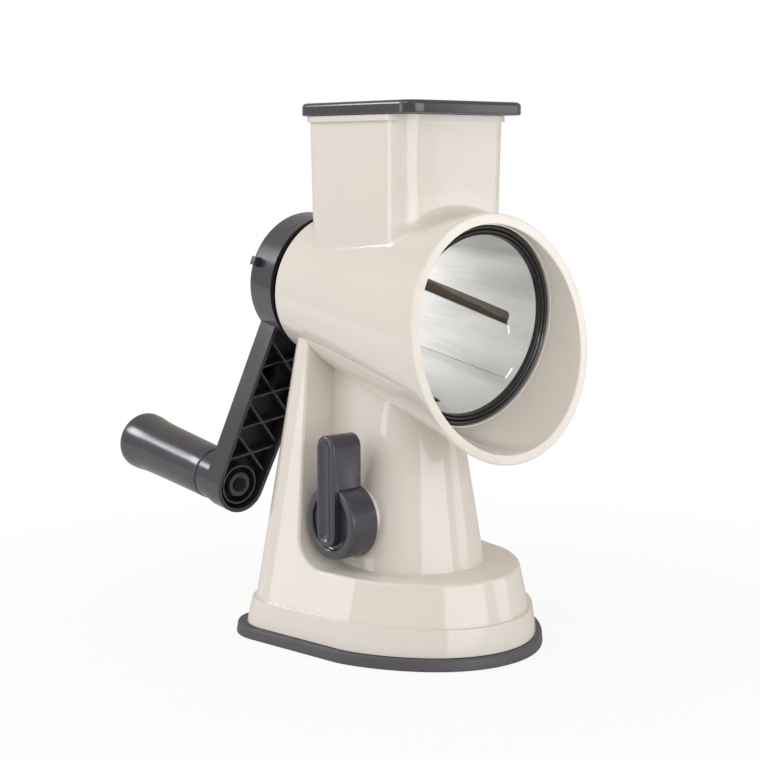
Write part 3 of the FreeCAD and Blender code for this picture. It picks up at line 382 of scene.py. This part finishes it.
# painted shade: near-black finish for the inside of the arm's hollow
hollow_painted_shade = satin_moulding("hollow_painted_shade", HOLLOW_PAINTED_SHADE, roughness=0.6, grain_size=900.0, depth=0.05)
charcoal_satin = satin_moulding("charcoal_satin", CHARCOAL)
black_satin = satin_moulding("black_satin", RING_BLACK, grain_size=1400.0, depth=0.04, specular=0.6)
pad_rubber = satin_moulding("pad_rubber", PAD_GREY, roughness=0.5, grain_size=1100.0, depth=0.16)
inner_plastic = satin_moulding("inner_plastic", INNER_GREY, roughness=0.45, grain_size=900.0, depth=0.1)
hub_nylon = satin_moulding("hub_nylon", HUB_WHITE, roughness=0.35, grain_size=900.0, depth=0.05, specular=0.5)
bush_nylon = satin_moulding("bush_nylon", BUSH_BLACK, roughness=0.4, grain_size=900.0, depth=0.05)
drum_steel = rolled_steel("drum_steel", DRUM_STEEL)
blackened_steel = turned_steel("blackened_steel", PIN_BLACK, roughness=0.42)
shaft_steel = turned_steel("shaft_steel", SHAFT_STEEL)
screw_steel = turned_steel("screw_steel", SCREW_STEEL, roughness=0.34)


# ------------------------------------------------------------ pieces
def dress(obj, material, body, node):
    obj.data.materials.clear()
    obj.data.materials.append(material)
    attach(obj, body)
    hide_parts(node)


def lid():
    """The pusher's lid: a rounded plate with an eased top edge and a hollow spigot under it."""
    thick = 6.6 * MM
    corner = 9.6 * MM
    top_round = 2.2 * MM
    lower_round = 0.7 * MM
    border = 2.0 * MM
    spigot_half = (32.2 * MM, 35.4 * MM)
    spigot_deep = 3.6 * MM
    spigot_wall = 2.0 * MM
    rim = (8.0 * MM, 7.0 * MM)

    low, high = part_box("pusher_plate")
    under = high.z - thick
    middle = (low.y + high.y) / 2

    def level(point, height):
        return abs(point.z - height) < TOUCHING

    def at_rim(point):
        return abs(point.x) > high.x - rim[0] or point.y < low.y + rim[1] or point.y > high.y - rim[1]

    obj = box((low.x, low.y, under), (high.x, high.y, high.z))
    obj.name = "pusher_lid"
    edit(obj)
    choose(obj, "edges", lambda a, b: abs(a.z - b.z) > thick / 2)
    bpy.ops.mesh.bevel(offset=corner, segments=14, profile=0.5, affect="EDGES")
    choose(obj, "faces", lambda c, n: n.z < -0.9)
    bpy.ops.mesh.inset(thickness=border, depth=0)
    spigot = (spigot_half[0] / (high.x - border), spigot_half[1] / ((high.y - low.y) / 2 - border), 1.0)
    bpy.ops.transform.resize(value=spigot, center_override=(0, middle, under))
    bpy.ops.transform.translate(value=(0, -middle, 0))
    bpy.ops.mesh.extrude_region_move(TRANSFORM_OT_translate={"value": (0, 0, -spigot_deep)})
    bpy.ops.mesh.inset(thickness=spigot_wall, depth=0)
    bpy.ops.mesh.extrude_region_move(TRANSFORM_OT_translate={"value": (0, 0, spigot_deep)})
    choose(obj, "edges", lambda a, b: level(a, high.z) and level(b, high.z))
    bpy.ops.mesh.bevel(offset=top_round, segments=6, profile=0.5, affect="EDGES")
    choose(obj, "edges", lambda a, b: all(level(p, under) and at_rim(p) for p in (a, b)))
    bpy.ops.mesh.bevel(offset=lower_round, segments=3, profile=0.5, affect="EDGES")
    finish_mesh(obj, 28)
    dress(obj, charcoal_satin, "pusher", "pusher_plate")


def handle():
    """The crank's grip: eased ends, a slow taper and a flare that keeps the hand on it."""
    near, far = -101.8, -183.0
    near_radius, near_round = 15.1, 1.0
    far_radius, far_round = 17.3, 4.6
    end_face = 11.5
    pin_bore = 4.05
    cap_bore, cap_seat, cap_ease = 9.0, -169.7, 0.3
    taper = ((-112, 15.2), (-124, 15.35), (-136, 15.55), (-148, 15.8), (-156, 15.95))
    flare = ((-162, 16.15), (-166, 16.4), (-169.5, 16.75), (-172.5, 17.05), (-175, 17.2))

    profile = [(pin_bore, near)]
    profile += rounded_corner((near_radius - near_round, near - near_round), near_round, 90, 0, 4)
    profile += [(radius, station) for station, radius in taper + flare]
    profile += rounded_corner((far_radius - far_round, far + far_round), far_round, 0, -78, 9)
    profile += [(end_face, far), (cap_bore + cap_ease, far), (cap_bore, far + cap_ease)]
    profile += [(cap_bore, cap_seat), (pin_bore, cap_seat), (pin_bore, near)]
    obj = turned("crank_grip", profile)
    throw = CRANK_THROW * MM
    settle(obj, place=(throw * math.cos(CRANK_TURN), throw * math.sin(CRANK_TURN), 0))
    settle(obj, DRUM_AXIS, DRUM_CENTRE)
    dress(obj, charcoal_satin, "grip", "grip")


def front_ring():
    """Black ring round the drum's mouth: three rounded beads between fine grooves."""
    back, bore, outside = 46.5, 47.0, 52.2
    lip = ((46.7, 52.1), (47.75, 52.05))
    beads = (
        # middle, radius, first and last angle, steps, the groove after it
        ((51.1, 54.9), 1.1, 0, 165, 9, (49.8, 54.3)),
        ((48.9, 54.9), 0.75, 15, 165, 7, (47.95, 54.2)),
        ((47.4, 54.5), 0.45, 20, 180, 6, (46.75, 53.4)))

    profile = [(bore, back), (outside - 0.6, back), (outside, back + 0.5)]
    for middle, radius, start, stop, steps, groove in beads:
        profile += rounded_corner(middle, radius, start, stop, steps)
        profile.append(groove)
    profile += [*lip, (bore, back)]
    obj = turned("drum_front_ring", profile)
    settle(obj, DRUM_AXIS, DRUM_CENTRE)
    dress(obj, black_satin, "drum", "drum_ring")


def knob_disc():
    """The knob's round body, with a raised rim round its dished face."""
    back, face = 36.4, 53.5
    outside, back_ease, outer_round = 19.8, 0.6, 1.4
    dish_radius, inner_round, dish_deep = 14.6, 1.0, 2.5
    profile = [(0, back), (outside - back_ease, back), (outside, back + back_ease)]
    profile += rounded_corner((outside - outer_round, face - outer_round), outer_round, 0, 90, 6)
    profile += rounded_corner((dish_radius + inner_round, face - inner_round), inner_round, 90, 180, 4)
    floor = face - dish_deep
    profile += [(dish_radius - 0.2, floor + 0.3), (dish_radius - 0.7, floor), (0, floor)]
    return turned("suction_lever_knob", profile)


def knob_lever():
    """The long lever across the knob, round at both ends, with a trough along its front."""
    tail, tip, half = -12.7, 46.5, 7.0
    rear, front = 37.8, 56.5
    edge_round = 1.3
    end_round = half - 0.0004
    trough_radius = 6.3
    trough_halves = (4.6, 4.3, 3.8, 3.2, 2.4, 1.6, 0.8)

    lever = box((tail * MM, -half * MM, rear * MM), (tip * MM, half * MM, front * MM))
    edit(lever)
    choose(lever, "edges", lambda a, b: abs(a.z - b.z) > 5 * MM)
    bpy.ops.mesh.bevel(offset=end_round * MM, segments=14, profile=0.5, affect="EDGES")
    finish_mesh(lever)
    edit(lever)
    choose(lever, "edges", lambda a, b: min(a.z, b.z) > (front - 0.01) * MM)
    bpy.ops.mesh.bevel(offset=edge_round * MM, segments=5, profile=0.5, affect="EDGES")
    finish_mesh(lever)

    edit(lever)
    choose(lever, "faces", lambda c, n: n.z > 0.99 and c.z > (front - 0.01) * MM)
    bpy.ops.mesh.inset(thickness=(half - edge_round - trough_halves[0]) * MM, depth=0)
    for wide, narrow in zip(trough_halves, trough_halves[1:]):
        drop = math.sqrt(trough_radius ** 2 - narrow ** 2) - math.sqrt(trough_radius ** 2 - wide ** 2)
        bpy.ops.mesh.inset(thickness=(wide - narrow) * MM, depth=-drop * MM)
    finish_mesh(lever)
    return lever


def lever_knob():
    """The suction foot's knob and its lever, joined and turned to stand out at the side."""
    body = knob_disc()
    lever = knob_lever()
    modify(body, "BOOLEAN", operation="UNION", object=lever, solver="MANIFOLD")
    bpy.data.objects.remove(lever)
    modify(body, "BEVEL", width=0.35 * MM, segments=2, limit_method="ANGLE", angle_limit=math.radians(38))
    finish_mesh(body, 30)
    settle(body, (0.0, math.radians(-90), 0.0), KNOB_CENTRE)
    dress(body, charcoal_satin, "knob", "suction_knob")


def paint_hollow_shade(crank):
    """Paint shade on the walls, floor and rib sides inside the arm: a near-black colour where the deep hollow
    lies in shade.
    """
    turn = Matrix.Rotation(DRUM_AXIS[0], 4, "X") @ Matrix.Rotation(CRANK_TURN, 4, "Z")
    back = (Matrix.Translation(DRUM_CENTRE) @ turn).inverted()
    root, end, wall = 18.6, 15.9, 1.0
    open_edge, floor = -78.4, -87.4
    hollow_start = 36.0

    def inside(centre, normal):
        along, across, station = (back @ centre) / MM
        if not floor < station < open_edge or along < hollow_start:
            return False
        if along > CRANK_THROW:
            return math.hypot(along - CRANK_THROW, across) < end - wall
        return abs(across) < root - (root - end) * along / CRANK_THROW - wall

    crank.data.materials.append(hollow_painted_shade)
    edit(crank)
    choose(crank, "faces", inside)
    crank.active_material_index = 1
    bpy.ops.object.material_slot_assign()
    bpy.ops.object.mode_set(mode="OBJECT")


lid()
handle()
front_ring()
lever_knob()

# node, the dressed piece's name, its eased edge in millimetres, finish, body, material slot
MOULDINGS = (
    ("head_housing", "hopper_and_barrel", 0.5, ivory_head_painted_shade, "base", "ivory_plastic"),
    ("base_shell", "stepped_foot", 0.9, ivory_gloss, "base", "ivory_plastic"),
    ("suction_pad", "suction_foot_pad", 0.7, pad_rubber, "base", "pad_rubber"),
    ("crank_arm", "ribbed_crank", 0.35, charcoal_satin, "crank", "charcoal_plastic"),
    ("drum_shell", "slotted_drum", 0.2, drum_steel, "drum", "drum_steel"),
    ("drum_hub", "drum_rear_hub", 0.3, hub_nylon, "drum", "hub_plastic"),
    ("release_latch", "release_tab", 0.3, charcoal_satin, "latch", "latch_plastic"),
    ("pusher_plug", "pusher_block", 0.3, ivory_gloss, "pusher", "ivory_plastic"),
    ("grip_cap", "grip_end_cap", 0.3, charcoal_satin, "grip", "charcoal_plastic"))
for node, name, edge, material, body, slot in MOULDINGS:
    dress(moulding(node, name, edge), material, body, node)

# painted shade inside the arm's hollow
paint_hollow_shade(bpy.data.objects["ribbed_crank"])

# pieces that keep the frame's own shape and only get a finish
INNER_PIECES = {
    "base_plate": inner_plastic,
    "base_screws": screw_steel,
    "head_screws": screw_steel,
    "suction_stem": inner_plastic,
    "cam_shaft": shaft_steel,
    "axle_bush": bush_nylon,
    "spindle": shaft_steel,
    "spindle_clip": screw_steel,
    "grip_pin": blackened_steel}
for node, material in INNER_PIECES.items():
    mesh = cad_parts[node].data
    mesh.materials.clear()
    mesh.materials.append(material)


# ------------------------------------------------------------ studio
def pale_floor():
    """White floor that the camera sees as plain white, apart from a faint shadow at the foot."""
    deselect()
    bpy.ops.mesh.primitive_plane_add(size=FLOOR_SIZE, location=(0, 0, 0))
    floor = bpy.context.object
    floor.name = "studio_floor"
    f = Finish("studio_white", (0.80, 0.80, 0.80), 0.9)
    away = f.length(f.node("ShaderNodeTexCoord", {}, out=3))
    plain = f.ramp(away, 0.9, 1.0, 0.10, 0.45)
    seen = f.node("ShaderNodeLightPath", {})
    glow = f.node("ShaderNodeEmission", {}, Color=WHITE, Strength=1.0)
    mixed = f.node("ShaderNodeMixShader", {}, seen * plain, Wire(f, f.shader.outputs[0]), glow)
    f.tree.links.new(mixed.socket, f.tree.nodes["Material Output"].inputs[0])
    floor.data.materials.append(f.material)


def backdrop_world():
    """A warm world for the light, which the camera sees as plain white."""
    world = bpy.data.worlds.new("studio_world")
    bpy.context.scene.world = world
    world.use_nodes = True
    tree = world.node_tree
    back = tree.nodes["Background"]
    paths = tree.nodes.new("ShaderNodeLightPath")
    direct = tree.nodes.new("ShaderNodeMath")
    direct.operation = "MAXIMUM"
    tree.links.new(paths.outputs["Is Camera Ray"], direct.inputs[0])
    tree.links.new(paths.outputs["Is Transmission Ray"], direct.inputs[1])
    white = tree.nodes.new("ShaderNodeBackground")
    white.inputs[0].default_value = WHITE
    white.inputs[1].default_value = 1.0
    back.inputs[0].default_value = WORLD_TINT
    back.inputs[1].default_value = WORLD_STRENGTH
    mix = tree.nodes.new("ShaderNodeMixShader")
    tree.links.new(direct.outputs[0], mix.inputs[0])
    tree.links.new(back.outputs[0], mix.inputs[1])
    tree.links.new(white.outputs[0], mix.inputs[2])
    tree.links.new(mix.outputs[0], tree.nodes["World Output"].inputs[0])


def lamp_at(kind, place, aim, power):
    """A lamp at its place, turned to what it lights."""
    deselect()
    bpy.ops.object.light_add(type=kind, location=place)
    lamp = bpy.context.object
    lamp.data.energy = power
    direction = Vector(aim) - Vector(place)
    lamp.rotation_euler = direction.to_track_quat("-Z", "Y").to_euler()
    return lamp.data


def softbox(place, width, height, power):
    lamp = lamp_at("AREA", place, OBJECT_MIDDLE, power)
    lamp.shape = "RECTANGLE"
    lamp.size = width
    lamp.size_y = height
    lamp.color = LAMP_TINT


def snoot(place, aim, cone, power):
    """Narrow lamp for the inside of the drum."""
    lamp = lamp_at("SPOT", place, aim, power)
    lamp.spot_size = math.radians(cone)
    lamp.spot_blend = 0.4
    lamp.shadow_soft_size = 0.03


def studio_camera():
    bpy.ops.object.camera_add(location=CAMERA_PLACE)
    camera = bpy.context.object
    camera.rotation_euler = CAMERA_TURN
    camera.data.lens = CAMERA_LENS
    camera.data.sensor_width = CAMERA_SENSOR
    bpy.context.scene.camera = camera


pale_floor()
backdrop_world()

# place, width, height, power
SOFTBOXES = (
    ((-0.05, -1.45, 0.30), 1.40, 0.75, 6.5),     # in front of the mouth
    ((1.18, -0.92, 0.30), 0.60, 0.75, 1.7),      # low at the front's far side
    ((-0.95, 1.13, 0.95), 0.50, 0.45, 6.0),      # high behind the crank
    ((-1.10, 0.20, 1.15), 0.90, 0.90, 3.0),      # high over the knob's side
    ((-1.35, 0.75, 0.30), 0.50, 0.60, 1.6),      # low behind the knob's side
    ((-0.70, -1.10, 1.20), 0.70, 0.70, 1.2))     # high over the camera
for place, width, height, power in SOFTBOXES:
    softbox(place, width, height, power)

HUB_DEPTH = 0.052
SNOOT_AWAY = 1.35
SNOOT_CONE = 4.4
SNOOT_POWER = 66.0
axis_out = Vector((0.0, -math.cos(DRUM_TILT), -math.sin(DRUM_TILT)))
hub_centre = Vector(DRUM_CENTRE) - axis_out * HUB_DEPTH
snoot(hub_centre + axis_out * SNOOT_AWAY, hub_centre, SNOOT_CONE, SNOOT_POWER)

studio_camera()
bpy.context.scene.view_settings.view_transform = "Standard"
